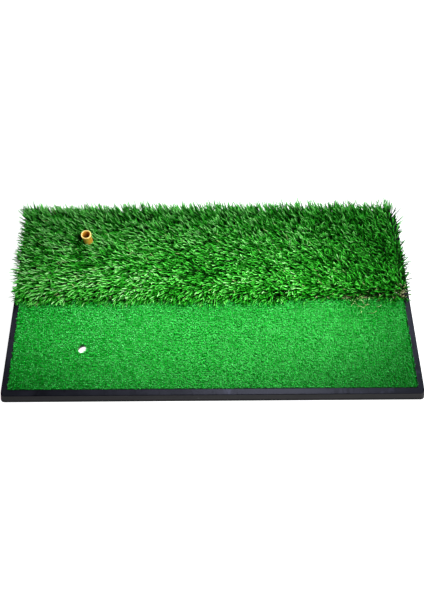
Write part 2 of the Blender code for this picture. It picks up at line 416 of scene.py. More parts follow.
# The lie of the blades. Turns are in degrees from +X, against shares of the way to the back or the right.
LIE_TURNS = ([0.0, 0.12, 0.35, 0.6, 1.0], [224, 208, 190, 172, 160])
LIE_TO_BACK = ([0.0, 0.3, 0.7, 1.0], [0.75, 0.95, 0.75, 0.60])
LIE_TO_RIGHT = ([0.0, 0.6, 1.0], [1.1, 1.0, 0.8])
FRONT_RIGHT_SWING = 60
FRONT_RIGHT_FROM = (0.55, 0.35)
RIGHT_SWING = 12
RIGHT_FROM = (0.7, 0.3)
DRAWN_BACK = 0.55
DRAWN_BACK_FROM = (0.72, 0.06)
BROAD_WANDER = (12, 0.060)
FINE_WANDER = (10, 0.020)
STRENGTH_WANDER = (0.14, 0.045)
STEADY_AT_BACK = (0.8, 0.020)
INNER_FADE = (0.9, 0.028)

# Pushes outwards along the edges: how strong, and how far they reach into the strip.
LEFT_PUSH = (0.24, 0.010)
RIGHT_PUSH = (0.66, 0.011)
BACK_PUSH = (0.74, 0.014)
BACK_LEFT_PUSH = (0.14, 0.014)
BACK_RIGHT_PUSH = (0.40, 0.022)
BACK_RIGHT_REACH = 0.020
FRONT_PUSH = (0.45, 0.007)
FRONT_RIGHT_PULL = (0.40, 0.008)

# Shades are picked by each blade's tint, from 0 to 1.
# The near-black lowest stop is painted shade for blades deep in the pile, and the pale stop at 0.93 is a
# painted highlight; the stops between are the blades' own greens, and the last one is straw.
BLADE_SHADES = [
    (0.0, (0.0006, 0.038, 0.0004)),
    (0.35, (0.005, 0.19, 0.002)),
    (0.65, (0.036, 0.42, 0.025)),
    (0.85, (0.14, 0.62, 0.100)),
    (0.93, (0.38, 0.78, 0.31)),
    (0.96, (0.20, 0.34, 0.10)),
]
# Painted shade for the blades deep in the pile.
BLADE_PAINTED_ROOT_SHADE = (0.0003, 0.010, 0.0002)
TINT_PLACES = [0.0, 0.25, 0.5, 0.8, 1.0]
BACK_TINTS = [0.66, 0.65, 0.57, 0.48, 0.36]
FRONT_TINTS = [0.52, 0.47, 0.40, 0.37, 0.24]
# Bright blades are longer and lighter and dull ones shorter and darker: a real spread of greens, partly
# painted light on the top blades and painted shade on the lower ones.
BRIGHT_SHARE = 0.32
BRIGHT_TINT = 0.32
DULL_TINT = -0.19
TINT_SPREAD = 0.13
TOP_TINT = 0.91
STRAW_SHARE = 0.008
STRAW_TINT = 1.0
TINT_DRIFT = 0.06
FRONT_BAND = 0.30
FRONT_CALM = 0.35
CALM_TINT = 0.26
MIDDLE_BAND = (0.45, 0.28)
MIDDLE_BAND_DEPTH = 0.08
DARK_PATCH = (-0.016, 0.046)
DARK_PATCH_SIZE = (0.040, 0.024)
DARK_PATCH_DEPTH = 0.22
TEE_PAINTED_SHADE_RADIUS = 0.013
TEE_PAINTED_SHADE_DEPTH = 0.20

THATCH_SHADES = [(0.0, (0.22, 0.21, 0.07)), (0.6, (0.51, 0.51, 0.21)), (1.0, (0.73, 0.76, 0.46))]
# Painted shade for the thatch towards its roots.
THATCH_PAINTED_ROOT_SHADE = (0.10, 0.095, 0.04)
THATCH_SEED = 23
THATCH_COUNT = 2600
THATCH_FRONT_COUNT = 900
THATCH_FRONT_DEPTH = 0.002
THATCH_REACH = (0.006, 0.011)
THATCH_LEVELS = 9
THATCH_CURL = (0.0013, 2.0)
THATCH_LIFT = 0.0004
THATCH_HALF_WIDTH = 0.00030
THATCH_HALF_THICKNESS = 0.00022

FRAYED_SEED = 29
FRAYED_COUNT = 70
FRAYED_AT_CORNER = 30
FRAYED_LENGTH = 0.150
FRAYED_MARGIN = 0.002
FRAYED_DEPTH = 0.003
FRAYED_HEIGHTS = (0.003, 0.010)
CORNER_MARGIN = 0.003
CORNER_SPREAD = 0.005
CORNER_DEPTHS = (0.001, 0.018)
CORNER_HEIGHTS = (0.004, 0.020)
FRAYED_REACH = (0.007, 0.013)
FRAYED_LEVELS = 11
FRAYED_CURL = (0.0014, 2.5)
SHED_COUNT = 15
SHED_FROM_RIGHT = 0.062
SHED_SPREAD = 0.022
SHED_FROM_SEAM = 0.002
SHED_DEPTH = 0.007
SHED_FLATNESS = 0.12
SHED_START = 0.0005
SHED_CLEAR = 0.001
SHED_REACH = (0.007, 0.016)
SHED_CURL = (0.0016, 0.8)
SHED_LIFT = 0.0003


def stitch_places(rng, low, high, step_x, step_y, wander):
    """Rows of tufts between two corners, each a little off its place."""
    xs = np.arange(low[0] + step_x / 2, high[0], step_x)
    ys = np.arange(low[1] + step_y / 2, high[1], step_y)
    x, y = np.meshgrid(xs, ys)
    x = x.ravel() + rng.uniform(-wander, wander, x.size)
    y = y.ravel() + rng.uniform(-wander, wander, y.size)
    return np.clip(x, low[0], high[0]), np.clip(y, low[1], high[1])


def grows(share, start, width):
    """0 up to start, then growing to 1 over the width."""
    return np.clip((share - start) / width, 0, 1)


def shares(x, y):
    """How far to the right and to the back of the long strip each place lies, from 0 to 1."""
    right = np.clip((x - thatch_low.x) / (thatch_high.x - thatch_low.x), 0, 1)
    back = np.clip((y - thatch_low.y) / (thatch_high.y - thatch_low.y), 0, 1)
    return right, back


def lean_field(rng, x, y):
    """Which way the long blades lie at each place, and how strongly: swept towards -X, forward in the front
    half, and outwards along the edges."""

    def push(amount, reach, distance):
        """A push that is strongest at an edge."""
        return amount * near(distance, reach)

    def wander(amount, wavelength):
        """A smooth random change from place to place."""
        return amount * drift(rng, x, y, wavelength)

    right, back = shares(x, y)
    to_left, to_right = x - thatch_low.x, thatch_high.x - x
    to_front, to_back = y - thatch_low.y, thatch_high.y - y
    swing = grows(right, *FRONT_RIGHT_FROM) * (1 - back)
    drawn_back = DRAWN_BACK * grows(right, *DRAWN_BACK_FROM) * (1 - back)
    turn = np.interp(back, *LIE_TURNS) - FRONT_RIGHT_SWING * swing
    turn = turn + RIGHT_SWING * grows(right, *RIGHT_FROM)
    swerve = wander(*BROAD_WANDER) + wander(*FINE_WANDER)
    turn = np.radians(turn + swerve * (1 - push(*STEADY_AT_BACK, to_back)))
    strength = np.interp(back, *LIE_TO_BACK) * np.interp(right, *LIE_TO_RIGHT)
    strength = strength + wander(*STRENGTH_WANDER)
    inner = 1 - push(*INNER_FADE, to_back)
    lean_x = strength * np.cos(turn)
    lean_x -= push(*LEFT_PUSH, to_left) * inner
    lean_x += push(*RIGHT_PUSH, to_right) * inner
    lean_x -= push(*BACK_LEFT_PUSH, to_back) * (1 - right)
    lean_x -= push(*BACK_RIGHT_PUSH, to_back) * near(to_right, BACK_RIGHT_REACH)
    lean_y = strength * np.sin(turn)
    lean_y += push(*BACK_PUSH, to_back)
    lean_y -= push(*FRONT_PUSH, to_front) * (1 - drawn_back)
    lean_y += push(*FRONT_RIGHT_PULL, to_front) * drawn_back
    return lean_x, lean_y


def bent_paths(root, lean, length, start_angle, end_angle, stations, knee):
    """Middle lines of strands that start near upright and bend over towards lean, a unit (n, 2) array,
    along the knee, a pair of shares of their length."""
    mid = (stations[1:] + stations[:-1]) / 2
    share = np.clip((mid - knee[0]) / (knee[1] - knee[0]), 0, 1)
    share = share * share * (3 - 2 * share)
    angle = start_angle[:, None] + (end_angle - start_angle)[:, None] * share[None]
    step = length[:, None] * np.diff(stations)[None]
    out = np.concatenate([np.zeros((len(root), 1)), np.cumsum(step * np.sin(angle), 1)], 1)
    up = np.concatenate([np.zeros((len(root), 1)), np.cumsum(step * np.cos(angle), 1)], 1)
    paths = np.empty((len(root), len(stations), 3))
    paths[:, :, :2] = root[:, None, :2] + out[..., None] * lean[:, None]
    paths[:, :, 2] = root[:, None, 2] + up
    return paths


def keep_clear(paths, margin):
    """Lifts strands over the rim and the short turf, and pushes them off the tee."""
    over_short = (paths[..., 1] < SEAM_Y) & (paths[..., 1] > short_low.y)
    inside = (
        (paths[..., 0] > thatch_low.x) & (paths[..., 0] < thatch_high.x)
        & (paths[..., 1] > SEAM_Y) & (paths[..., 1] < thatch_high.y)
    )
    lowest = np.where(over_short, SHORT_TOP + margin, RIM_TOP + margin)
    paths[..., 2] = np.where(inside, paths[..., 2], np.maximum(paths[..., 2], lowest))
    tee = np.array([TEE_X, TEE_Y])
    away = paths[..., :2] - tee
    distance = np.linalg.norm(away, axis=-1, keepdims=True)
    clear = TEE_RING + margin
    pushed = tee + away / np.maximum(distance, 1e-6) * clear
    paths[..., :2] = np.where(distance < clear, pushed, paths[..., :2])
    return paths


def blade_stitches(rng, low, high):
    """Rows of stitches over the strip, with closer rows along its back edge and its right end."""
    x, y = stitch_places(rng, low, high, STITCH_STEP, STITCH_STEP, STITCH_WANDER)
    edge_x, edge_y = stitch_places(
        rng, (low[0], high[1] - EDGE_ROW_DEPTH), high, STITCH_STEP, EDGE_ROW_STEP, EDGE_ROW_WANDER
    )
    end_x, end_y = stitch_places(
        rng, (high[0] - EDGE_ROW_DEPTH, low[1]), high, EDGE_ROW_STEP, STITCH_STEP, EDGE_ROW_WANDER
    )
    x, y = np.concatenate([x, edge_x, end_x]), np.concatenate([y, edge_y, end_y])
    keep = np.hypot(x - TEE_X, y - TEE_Y) > TEE_CLEAR
    return x[keep], y[keep]


def blade_tints(rng, x, y, bright):
    """Darker to the right and the front, with a dark patch in the middle and painted shade in a ring around
    the tee, and a few straw-coloured blades."""
    right, back = shares(x, y)
    shaded_end = back * (1 - right)
    dark = patch(x, y, DARK_PATCH, DARK_PATCH_SIZE)
    tint = back * np.interp(right, TINT_PLACES, BACK_TINTS)
    tint += (1 - back) * np.interp(right, TINT_PLACES, FRONT_TINTS)
    middle = np.exp(-(((back - MIDDLE_BAND[0]) / MIDDLE_BAND[1]) ** 2))
    tint += TINT_DRIFT * drift(rng, x, y, 0.05) - DARK_PATCH_DEPTH * dark - MIDDLE_BAND_DEPTH * middle
    # Painted shade: blades darken in a ring around the tee.
    tint -= TEE_PAINTED_SHADE_DEPTH * np.exp(-((np.hypot(x - TEE_X, y - TEE_Y) / TEE_PAINTED_SHADE_RADIUS) ** 2))
    # The bright and dull tints are partly painted light and shade on top and lower blades; calm eases them
    # near the front.
    calm = 1 - FRONT_CALM * np.clip(1 - back / FRONT_BAND, 0, 1)
    tint = tint + calm * np.where(bright, BRIGHT_TINT - 0.05 * shaded_end, DULL_TINT)
    tint = tint + calm * rng.normal(0, TINT_SPREAD, len(x)) + CALM_TINT * (1 - calm)
    tint = np.clip(tint, 0, TOP_TINT - 0.05 * back)
    return np.where(rng.uniform(0, 1, len(x)) < STRAW_SHARE, STRAW_TINT, tint)


def make_blades(material):
    """Tufts of flat blades that bend over the way they lie, in sections from left to right."""
    rng = np.random.default_rng(BLADE_SEED)
    low = (thatch_low.x + STRIP_MARGIN, thatch_low.y + FRONT_MARGIN)
    high = (thatch_high.x - STRIP_MARGIN, thatch_high.y - STRIP_MARGIN)
    stitch_x, stitch_y = blade_stitches(rng, low, high)
    lean_x, lean_y = lean_field(rng, stitch_x, stitch_y)
    tuft_x = lean_x + rng.normal(0, TUFT_LEAN_SPREAD, stitch_x.size)
    tuft_y = lean_y + rng.normal(0, TUFT_LEAN_SPREAD, stitch_x.size)
    each = BLADES_PER_STITCH
    x = np.repeat(stitch_x, each) + rng.normal(0, TUFT_SPREAD, stitch_x.size * each)
    y = np.repeat(stitch_y, each) + rng.normal(0, TUFT_SPREAD, stitch_x.size * each)
    x = np.clip(x, low[0], high[0])
    y = np.clip(y, low[1], high[1])
    lean = np.stack([np.repeat(tuft_x, each), np.repeat(tuft_y, each)], 1)
    lean += rng.normal(0, BLADE_LEAN_SPREAD, lean.shape)
    strength = np.minimum(np.linalg.norm(lean, axis=1), TOP_STRENGTH)
    lean = unit(lean)
    count = len(x)
    right, back = shares(x, y)
    at_back = near(thatch_high.y - y, BACK_ROWS_REACH)
    at_front = near(y - thatch_low.y, FRONT_ROWS_REACH)
    bright = rng.uniform(0, 1, count) < BRIGHT_SHARE
    bright_length = rng.uniform(*BRIGHT_LENGTHS, count)
    dull_length = rng.uniform(*DULL_LENGTHS, count)
    length = BLADE_LENGTH * np.where(bright, bright_length, dull_length)
    edge_rows = 1 + LONGER_AT_BACK * at_back - SHORTER_AT_FRONT * at_front
    length = length * edge_rows * (1 - SHORTER_AT_BACK_LEFT * (back * (1 - right)))
    loose = rng.uniform(0, 1, count)
    start = np.radians(rng.uniform(0, 12, count) + 8 * strength + 20 * at_front + 16 * at_back)
    end = np.radians(26 + 26 * loose + 26 * strength + 26 * at_front)
    root = np.stack([x, y, np.full(count, ROOT_Z)], 1)
    paths = bent_paths(root, lean, length, start, end, BLADE_STATIONS, BLADE_KNEE)
    paths = keep_clear(paths, BLADE_GAP)
    twist = rng.normal(0, BLADE_TWIST, count)
    side = np.stack([-lean[:, 1], lean[:, 0]], 1)
    across = np.empty_like(paths)
    across[..., :2] = side[:, None] * np.cos(twist)[:, None, None]
    across[..., :2] += lean[:, None] * np.sin(twist)[:, None, None] * 0.7
    across[..., 2] = np.sin(twist)[:, None] * 0.7
    taper = np.interp(BLADE_STATIONS, *BLADE_TAPER)
    width = BLADE_HALF_WIDTH * rng.uniform(*BLADE_WIDTHS, count)[:, None] * taper[None]
    thick = BLADE_HALF_THICKNESS * np.ones(count)[:, None] * np.maximum(taper, 0.5)[None]
    tint = blade_tints(rng, x, y, bright)
    edges = np.linspace(low[0], high[0], BLADE_SECTIONS + 1)[1:-1]
    section = np.digitize(np.repeat(stitch_x, each), edges)
    for i in range(BLADE_SECTIONS):
        chosen = section == i
        piece = strands(
            f"long_blades_{i + 1}", paths[chosen], across[chosen], width[chosen], thick[chosen],
            tint[chosen], material, stations=BLADE_STATIONS,
        )
        show(piece, "mat", "long_turf_pile")


def curl_paths(rng, root, reach, levels, radius, turns):
    """Curly yarn: loose turns about a line that leans at random."""
    count = len(root)
    along = np.linspace(0, 1, levels)
    direction = unit(rng.normal(0, 1, (count, 3)) * np.array([1, 1, 0.35]) + np.array([0, 0, 0.75]))
    phase = rng.uniform(0, 2 * np.pi, count)[:, None] + 2 * np.pi * turns * along[None]
    swell = radius * np.minimum(1, 3 * along)[None] * np.ones((count, 1))
    paths = root[:, None] + direction[:, None] * (reach[:, None] * along[None])[..., None]
    paths[..., 0] += swell * np.cos(phase)
    paths[..., 1] += swell * np.sin(phase)
    paths[..., 2] += 0.5 * swell * np.sin(phase * 1.7)
    return paths


def upright(paths):
    """A broad direction that points up all along the paths."""
    across = np.zeros_like(paths)
    across[..., 2] = 1.0
    return across


def make_thatch(material):
    """Curly tan yarn between the roots, thicker along the cut edge, where it shows."""
    rng = np.random.default_rng(THATCH_SEED)
    low = np.array([thatch_low.x + STRIP_MARGIN, thatch_low.y + STRIP_MARGIN])
    high = np.array([thatch_high.x - STRIP_MARGIN, thatch_high.y - STRIP_MARGIN])
    spread = rng.uniform(low, high, (THATCH_COUNT, 2))
    front_x = rng.uniform(low[0], high[0], THATCH_FRONT_COUNT)
    front_y = low[1] + rng.exponential(THATCH_FRONT_DEPTH, THATCH_FRONT_COUNT)
    places = np.concatenate([spread, np.stack([front_x, front_y], 1)])
    places = places[np.hypot(places[:, 0] - TEE_X, places[:, 1] - TEE_Y) > TEE_CLEAR]
    count = len(places)
    root = np.concatenate([places, np.full((count, 1), ROOT_Z + THATCH_LIFT)], 1)
    paths = curl_paths(rng, root, rng.uniform(*THATCH_REACH, count), THATCH_LEVELS, *THATCH_CURL)
    paths[..., 2] = np.maximum(paths[..., 2], ROOT_Z + THATCH_LIFT)
    paths[..., 1] = np.maximum(paths[..., 1], SEAM_Y + THATCH_LIFT)
    width = np.full((count, THATCH_LEVELS), THATCH_HALF_WIDTH)
    thick = np.full((count, THATCH_LEVELS), THATCH_HALF_THICKNESS)
    tint = rng.uniform(0, 1, count)
    piece = strands("long_turf_curly_thatch", paths, upright(paths), width, thick, tint, material, sides=3)
    show(piece, "mat", "long_turf_thatch")


def make_frayed_thatch(material):
    """Thatch pulled out along the right end of the seam, and a few shed strands on the short turf."""
    rng = np.random.default_rng(FRAYED_SEED)
    count = FRAYED_COUNT
    x = rng.uniform(thatch_high.x - FRAYED_LENGTH, thatch_high.x - FRAYED_MARGIN, count)
    y = thatch_low.y + STRIP_MARGIN + rng.exponential(FRAYED_DEPTH, count)
    corner = np.arange(count) < FRAYED_AT_CORNER
    x = np.where(corner, thatch_high.x - CORNER_MARGIN - rng.exponential(CORNER_SPREAD, count), x)
    y = np.where(corner, thatch_low.y + rng.uniform(*CORNER_DEPTHS, count), y)
    raised = np.where(corner, rng.uniform(*CORNER_HEIGHTS, count), rng.uniform(*FRAYED_HEIGHTS, count))
    root = np.stack([x, y, ROOT_Z + raised], 1)
    paths = curl_paths(rng, root, rng.uniform(*FRAYED_REACH, count), FRAYED_LEVELS, *FRAYED_CURL)
    shed_x = thatch_high.x - SHED_FROM_RIGHT + rng.normal(0, SHED_SPREAD, SHED_COUNT)
    shed_y = SEAM_Y - SHED_FROM_SEAM - rng.exponential(SHED_DEPTH, SHED_COUNT)
    places = np.stack([shed_x, shed_y, np.full(SHED_COUNT, SHORT_TOP + SHED_START)], 1)
    lying = curl_paths(rng, places, rng.uniform(*SHED_REACH, SHED_COUNT), FRAYED_LEVELS, *SHED_CURL)
    lying[..., 2] = SHORT_TOP + SHED_LIFT + SHED_FLATNESS * np.abs(lying[..., 2] - SHORT_TOP)
    lying[..., 1] = np.minimum(lying[..., 1], SEAM_Y - SHED_CLEAR)
    paths = np.concatenate([paths, lying])
    low = np.where(paths[..., 1] < SEAM_Y, SHORT_TOP + SHED_LIFT, ROOT_Z + THATCH_LIFT)
    paths[..., 2] = np.maximum(paths[..., 2], low)
    width = np.full(paths.shape[:2], THATCH_HALF_WIDTH)
    tint = np.clip(rng.normal(0.55, 0.30, len(paths)), 0, 1)
    piece = strands("frayed_thatch", paths, upright(paths), width, width * 0.7, tint, material, sides=3)
    show(piece, "mat", "long_turf_thatch")


# ---------------------------------------------------------------- short turf

YARN_SEED = 37
TUFT_STEP = 0.0027
TUFT_WANDER = 0.0006
TUFT_HEIGHT_SPREAD = 0.0007
FIBRES_PER_TUFT = 6
YARN_SPREAD = 0.00055
YARN_HEIGHT_SPREAD = 0.0004
YARN_RISE = np.array([0.0, 0.45, 0.8, 1.0])
YARN_TAPER = np.array([0.9, 1.0, 0.95, 0.5])
YARN_KINK = 0.00028
YARN_HALF_WIDTH = 0.00046
YARN_WIDTHS = (0.75, 1.25)
YARN_FLATNESS = 0.6
YARN_SECTIONS = 8
YARN_SIDE_MARGIN = 0.0004
YARN_FRONT_MARGIN = 0.0007
YARN_PAST_SEAM = 0.0002
YARN_EDGE_REACH = 0.0015
YARN_SWEEP = 0.0003
YARN_LEAN = 0.0004
OUT_AT_RIGHT = 0.0012
OUT_AT_LEFT = 0.0006
IN_AT_FRONT = 0.0003
TOP_DRIFT = 0.0002
TURF_HOLE = (SPARE_X - 0.0005, SPARE_Y + 0.0010)
TURF_HOLE_RADIUS = 0.0061
HOLE_SIDES = 64
BED_TOP = SHORT_TOP - 0.0034
BED_INSET = 0.0012
YARN_ROOT_Z = BED_TOP - 0.0006

YARN_SHADES = [(0.0, (0.001, 0.19, 0.005)), (0.5, (0.006, 0.42, 0.026)), (1.0, (0.12, 0.70, 0.18))]
# Painted shade for the yarn deep in the pile.
YARN_PAINTED_ROOT_SHADE = (0.001, 0.12, 0.006)
# The bed is coloured darker than the yarn: painted shade deep in the pile.
BED_SHADES = [(0.003, 0.11, 0.009), (0.008, 0.22, 0.020)]
YARN_TINT = 0.5
YARN_TINT_DRIFT = 0.05
YARN_TINT_SPREAD = 0.11
TUFT_TINT = 0.24
TUFT_TINT_FALL = 0.34
TUFT_TINT_SHARE = 0.90
DIM_PATCH = (0.232, -0.012)
DIM_PATCH_SIZE = (0.034, 0.022)
DIM_DEPTH = 0.46
PALE_PATCH = (-0.160, -0.030)
PALE_PATCH_SIZE = (0.090, 0.060)
PALE_LIFT = 0.13


def punched_block(name, low, high, place, radius, material):
    """A flat block with one round hole through it."""
    bm = bmesh.new()
    corners = [(low[0], low[1]), (high[0], low[1]), (high[0], high[1]), (low[0], high[1])]
    turns = [2 * math.pi * i / HOLE_SIDES for i in range(HOLE_SIDES)]
    hole = [(place[0] + radius * math.cos(turn), place[1] + radius * math.sin(turn)) for turn in turns]
    loops = [[bm.verts.new((x, y, low[2])) for x, y in outline] for outline in (corners, hole)]
    for loop in loops:
        for i, vert in enumerate(loop):
            bm.edges.new((vert, loop[(i + 1) % len(loop)]))
    bmesh.ops.triangle_fill(bm, edges=bm.edges[:], use_beauty=True)
    made = bmesh.ops.extrude_face_region(bm, geom=bm.faces[:])
    for item in made["geom"]:
        if isinstance(item, bmesh.types.BMVert):
            item.co.z = high[2]
    bmesh.ops.recalc_face_normals(bm, faces=bm.faces[:])
    mesh = bpy.data.meshes.new(name)
    bm.to_mesh(mesh)
    bm.free()
    mesh.materials.append(material)
    return link(bpy.data.objects.new(name, mesh))


def make_turf_bed(material):
    """The mass of yarn below the tips, coloured darker than the yarn as painted shade deep in the pile."""
    block = punched_block(
        "short_turf_bed",
        (short_low.x + BED_INSET, short_low.y + BED_INSET, short_low.z),
        (short_high.x - BED_INSET, short_high.y - BED_INSET, BED_TOP),
        TURF_HOLE,
        TURF_HOLE_RADIUS,
        material,
    )
    show(block, "mat", "short_turf_pile")


def make_short_yarn(material):
    """Short kinked fibres in close tufts, cut level, with a height and a tint of its own for each tuft."""
    rng = np.random.default_rng(YARN_SEED)
    low = (short_low.x + YARN_SIDE_MARGIN, short_low.y + YARN_FRONT_MARGIN)
    high = (short_high.x - YARN_SIDE_MARGIN, short_high.y + YARN_PAST_SEAM)
    tuft_x, tuft_y = stitch_places(rng, low, high, TUFT_STEP, TUFT_STEP, TUFT_WANDER)
    each = FIBRES_PER_TUFT
    x = np.repeat(tuft_x, each) + rng.normal(0, YARN_SPREAD, tuft_x.size * each)
    y = np.repeat(tuft_y, each) + rng.normal(0, YARN_SPREAD, tuft_x.size * each)
    tuft_height = np.repeat(rng.normal(0, TUFT_HEIGHT_SPREAD, tuft_x.size), each)
    tuft_fall = TUFT_TINT_FALL * np.abs(rng.normal(0, 1, tuft_x.size))
    tuft_tint = np.repeat(TUFT_TINT - tuft_fall, each)
    keep = np.hypot(x - TURF_HOLE[0], y - TURF_HOLE[1]) > TURF_HOLE_RADIUS
    keep &= (x > low[0]) & (x < high[0]) & (y > low[1]) & (y < high[1])
    x, y, tuft_height, tuft_tint = x[keep], y[keep], tuft_height[keep], tuft_tint[keep]
    count = len(x)
    top = SHORT_TOP + TOP_DRIFT * drift(rng, x, y, 0.03) + tuft_height
    top = top + rng.normal(0, YARN_HEIGHT_SPREAD, count)
    paths = np.empty((count, len(YARN_RISE), 3))
    kink = np.cumsum(rng.normal(0, YARN_KINK, (count, len(YARN_RISE), 2)), 1)
    at_right = near(short_high.x - x, YARN_EDGE_REACH)
    at_left = near(x - short_low.x, YARN_EDGE_REACH)
    at_front = near(y - short_low.y, YARN_EDGE_REACH)
    sweep_x = YARN_SWEEP * drift(rng, x, y, 0.008) - YARN_LEAN
    sweep_x += OUT_AT_RIGHT * at_right - OUT_AT_LEFT * at_left
    sweep_y = YARN_SWEEP * drift(rng, x, y, 0.008) + IN_AT_FRONT * at_front
    sweep = np.stack([sweep_x, sweep_y], 1)
    paths[..., :2] = np.stack([x, y], 1)[:, None] + kink + sweep[:, None] * YARN_RISE[None, :, None]
    paths[..., 2] = YARN_ROOT_Z + (top - YARN_ROOT_Z)[:, None] * YARN_RISE[None]
    turn = rng.uniform(0, np.pi, count)
    across = np.zeros_like(paths)
    across[..., 0] = np.cos(turn)[:, None]
    across[..., 1] = np.sin(turn)[:, None]
    width = YARN_HALF_WIDTH * rng.uniform(*YARN_WIDTHS, count)[:, None] * YARN_TAPER
    # The yarn's tint is darker in a patch to the right and paler in a broad patch to the left.
    dim = patch(x, y, DIM_PATCH, DIM_PATCH_SIZE)
    pale = patch(x, y, PALE_PATCH, PALE_PATCH_SIZE)
    tint = YARN_TINT + YARN_TINT_DRIFT * drift(rng, x, y, 0.02) - DIM_DEPTH * dim + PALE_LIFT * pale
    tint += TUFT_TINT_SHARE * tuft_tint + rng.normal(0, YARN_TINT_SPREAD, count)
    tint = np.clip(tint, 0, 1)
    edges = np.linspace(low[0], high[0], YARN_SECTIONS + 1)[1:-1]
    section = np.digitize(x, edges)
    for i in range(YARN_SECTIONS):
        chosen = section == i
        piece = strands(
            f"short_yarn_{i + 1}", paths[chosen], across[chosen], width[chosen],
            width[chosen] * YARN_FLATNESS, tint[chosen], material, sides=3,
        )
        show(piece, "mat", "short_turf_pile")


# ---------------------------------------------------------------- tee

LIP_RADIUS = 0.0080
LIP_ROUND = 0.0010
LIP_DEPTH = 0.0034
NECK_RADIUS = 0.0070
NECK_DEPTH = 0.0090
NECK_END = 0.024
FOOT_RADIUS = 0.0078
CUP_RADIUS = 0.0059
CUP_DEPTH = 0.0040
BORE_RADIUS = 0.0050
FLANGE_EDGE = 0.0006
FLANGE_SHOULDER = 0.0022
TEE_STEPS = 96
ARC_STEPS = 6
RIDGE_TURN = -0.42
RIDGE_HEIGHT = 0.0006
RIDGE_SPREAD = 0.09


def lathe(name, profile, place, steps, material):
    """A turned piece about an upright axis through place. profile holds (radius, height, outer), and a thin
    moulding ridge runs down the points that have outer above 0."""
    profile = np.array(profile)
    turns = 2 * np.pi * np.arange(steps) / steps
    away = np.abs((turns - RIDGE_TURN + np.pi) % (2 * np.pi) - np.pi)
    ridge = RIDGE_HEIGHT * np.exp(-((away / RIDGE_SPREAD) ** 2))[None] * (profile[:, 2:3] > 0)
    radius = np.repeat(profile[:, :1], steps, 1) + ridge
    verts = np.stack(
        [
            place[0] + radius * np.cos(turns),
            place[1] + radius * np.sin(turns),
            np.repeat(profile[:, 1:2], steps, 1),
        ],
        -1,
    ).reshape(-1, 3)
    index = np.arange(len(profile) * steps).reshape(len(profile), steps)
    low, high = index, np.roll(index, -1, 0)
    walls = np.stack([low, high, np.roll(high, -1, 1), np.roll(low, -1, 1)], -1).reshape(-1, 4)
    return mesh_object(name, verts, [walls], material)


def arc(middle, radius, start, end, outer):
    """Points on an arc in the profile plane, from start to end in degrees from the outward direction."""
    turns = np.radians(np.linspace(start, end, ARC_STEPS))
    return [
        (middle[0] + radius * math.cos(turn), middle[1] + radius * math.sin(turn), outer)
        for turn in turns
    ]


def make_tee(material):
    """Rounded lip, neck and widening foot outside, a flange at the bottom, and a bore with a cup inside."""
    top = tee_high.z
    low = tee_low.z
    flange = (tee_high.x - tee_low.x) / 2
    outside = [
        (LIP_RADIUS, top - LIP_DEPTH, 1),
        (LIP_RADIUS - 0.0002, top - LIP_DEPTH - 0.0008, 1),
        (NECK_RADIUS + 0.0002, top - NECK_DEPTH + 0.0014, 1),
        (NECK_RADIUS, top - NECK_DEPTH, 1),
        (NECK_RADIUS, top - NECK_END, 1),
        (FOOT_RADIUS, low + 0.0040, 1),
        (FOOT_RADIUS + 0.0006, low + 0.0026, 0),
    ]
    flange_edge = [
        (flange - 0.0008, low + FLANGE_SHOULDER, 0),
        (flange - 0.0001, low + FLANGE_SHOULDER - 0.0006, 0),
        (flange, low + FLANGE_EDGE, 0),
        (flange - 0.0005, low, 0),
    ]
    inside = [
        (BORE_RADIUS + 0.0003, low, 0),
        (BORE_RADIUS, low + 0.0004, 0),
        (BORE_RADIUS, top - NECK_DEPTH, 0),
        (CUP_RADIUS, top - CUP_DEPTH, 0),
    ]
    outer_lip = arc((LIP_RADIUS - LIP_ROUND, top - LIP_ROUND), LIP_ROUND, 90, 0, 1)
    inner_lip = arc((CUP_RADIUS + LIP_ROUND, top - LIP_ROUND), LIP_ROUND, 180, 90, 0)[:-1]
    profile = outer_lip + outside + flange_edge + inside + inner_lip
    tee = lathe("hollow_tee", profile, (TEE_X, TEE_Y), TEE_STEPS, material)
    show(tee, "tee", "rubber_tee")


# ---------------------------------------------------------------- floor, light and camera

FLOOR_SIZE = 8.0
FLOOR_Z = -0.0004
FLOOR_GREY = (0.25, 0.25, 0.25, 1.0)
FLOOR_GLOW = 0.34
WORLD_GLOW = 0.12
PLAIN_WHITE = (1.0, 1.0, 1.0, 1.0)
SENSOR_WIDTH = 36
CAMERA_LENS = 49.5
CAMERA_PITCH = 65.0
CAMERA_YAW = 0.87
CAMERA_ROLL = 0.46
CAMERA_PLACE = (-0.006, BASE_MIDDLE_Y - 0.3746, 0.8201)


def seen_or_lighting(nodes, links, lighting):
    """A value that is 1 where the camera looks and `lighting` for the light it throws on the mat."""
    path = nodes.new("ShaderNodeLightPath")
    return map_range(nodes, links, path.outputs["Is Camera Ray"], 0.0, 1.0, lighting, 1.0)


def make_floor():
    """A flat floor that looks white to the camera."""
    bpy.ops.mesh.primitive_plane_add(size=FLOOR_SIZE, location=(0, 0, FLOOR_Z))
    floor = bpy.context.object
    floor.name = "floor"
    material, nodes, links, shader = principled("light_table", 0.6)
    shader.inputs["Base Color"].default_value = FLOOR_GREY
    shader.inputs["Specular IOR Level"].default_value = 0.0
    shader.inputs["Emission Color"].default_value = PLAIN_WHITE
    links.new(seen_or_lighting(nodes, links, FLOOR_GLOW), shader.inputs["Emission Strength"])
    floor.data.materials.append(material)


def aim(lamp, place, target):
    """Puts the lamp at place, looking at target, with its own X kept along the mat."""
    back = (Vector(place) - Vector(target)).normalized()
    along = (Vector((1, 0, 0)) - back * back.x).normalized()
    turn = Matrix((along, back.cross(along), back)).transposed().to_4x4()
    lamp.matrix_world = Matrix.Translation(place) @ turn
    lamp.visible_camera = False
    link(lamp)


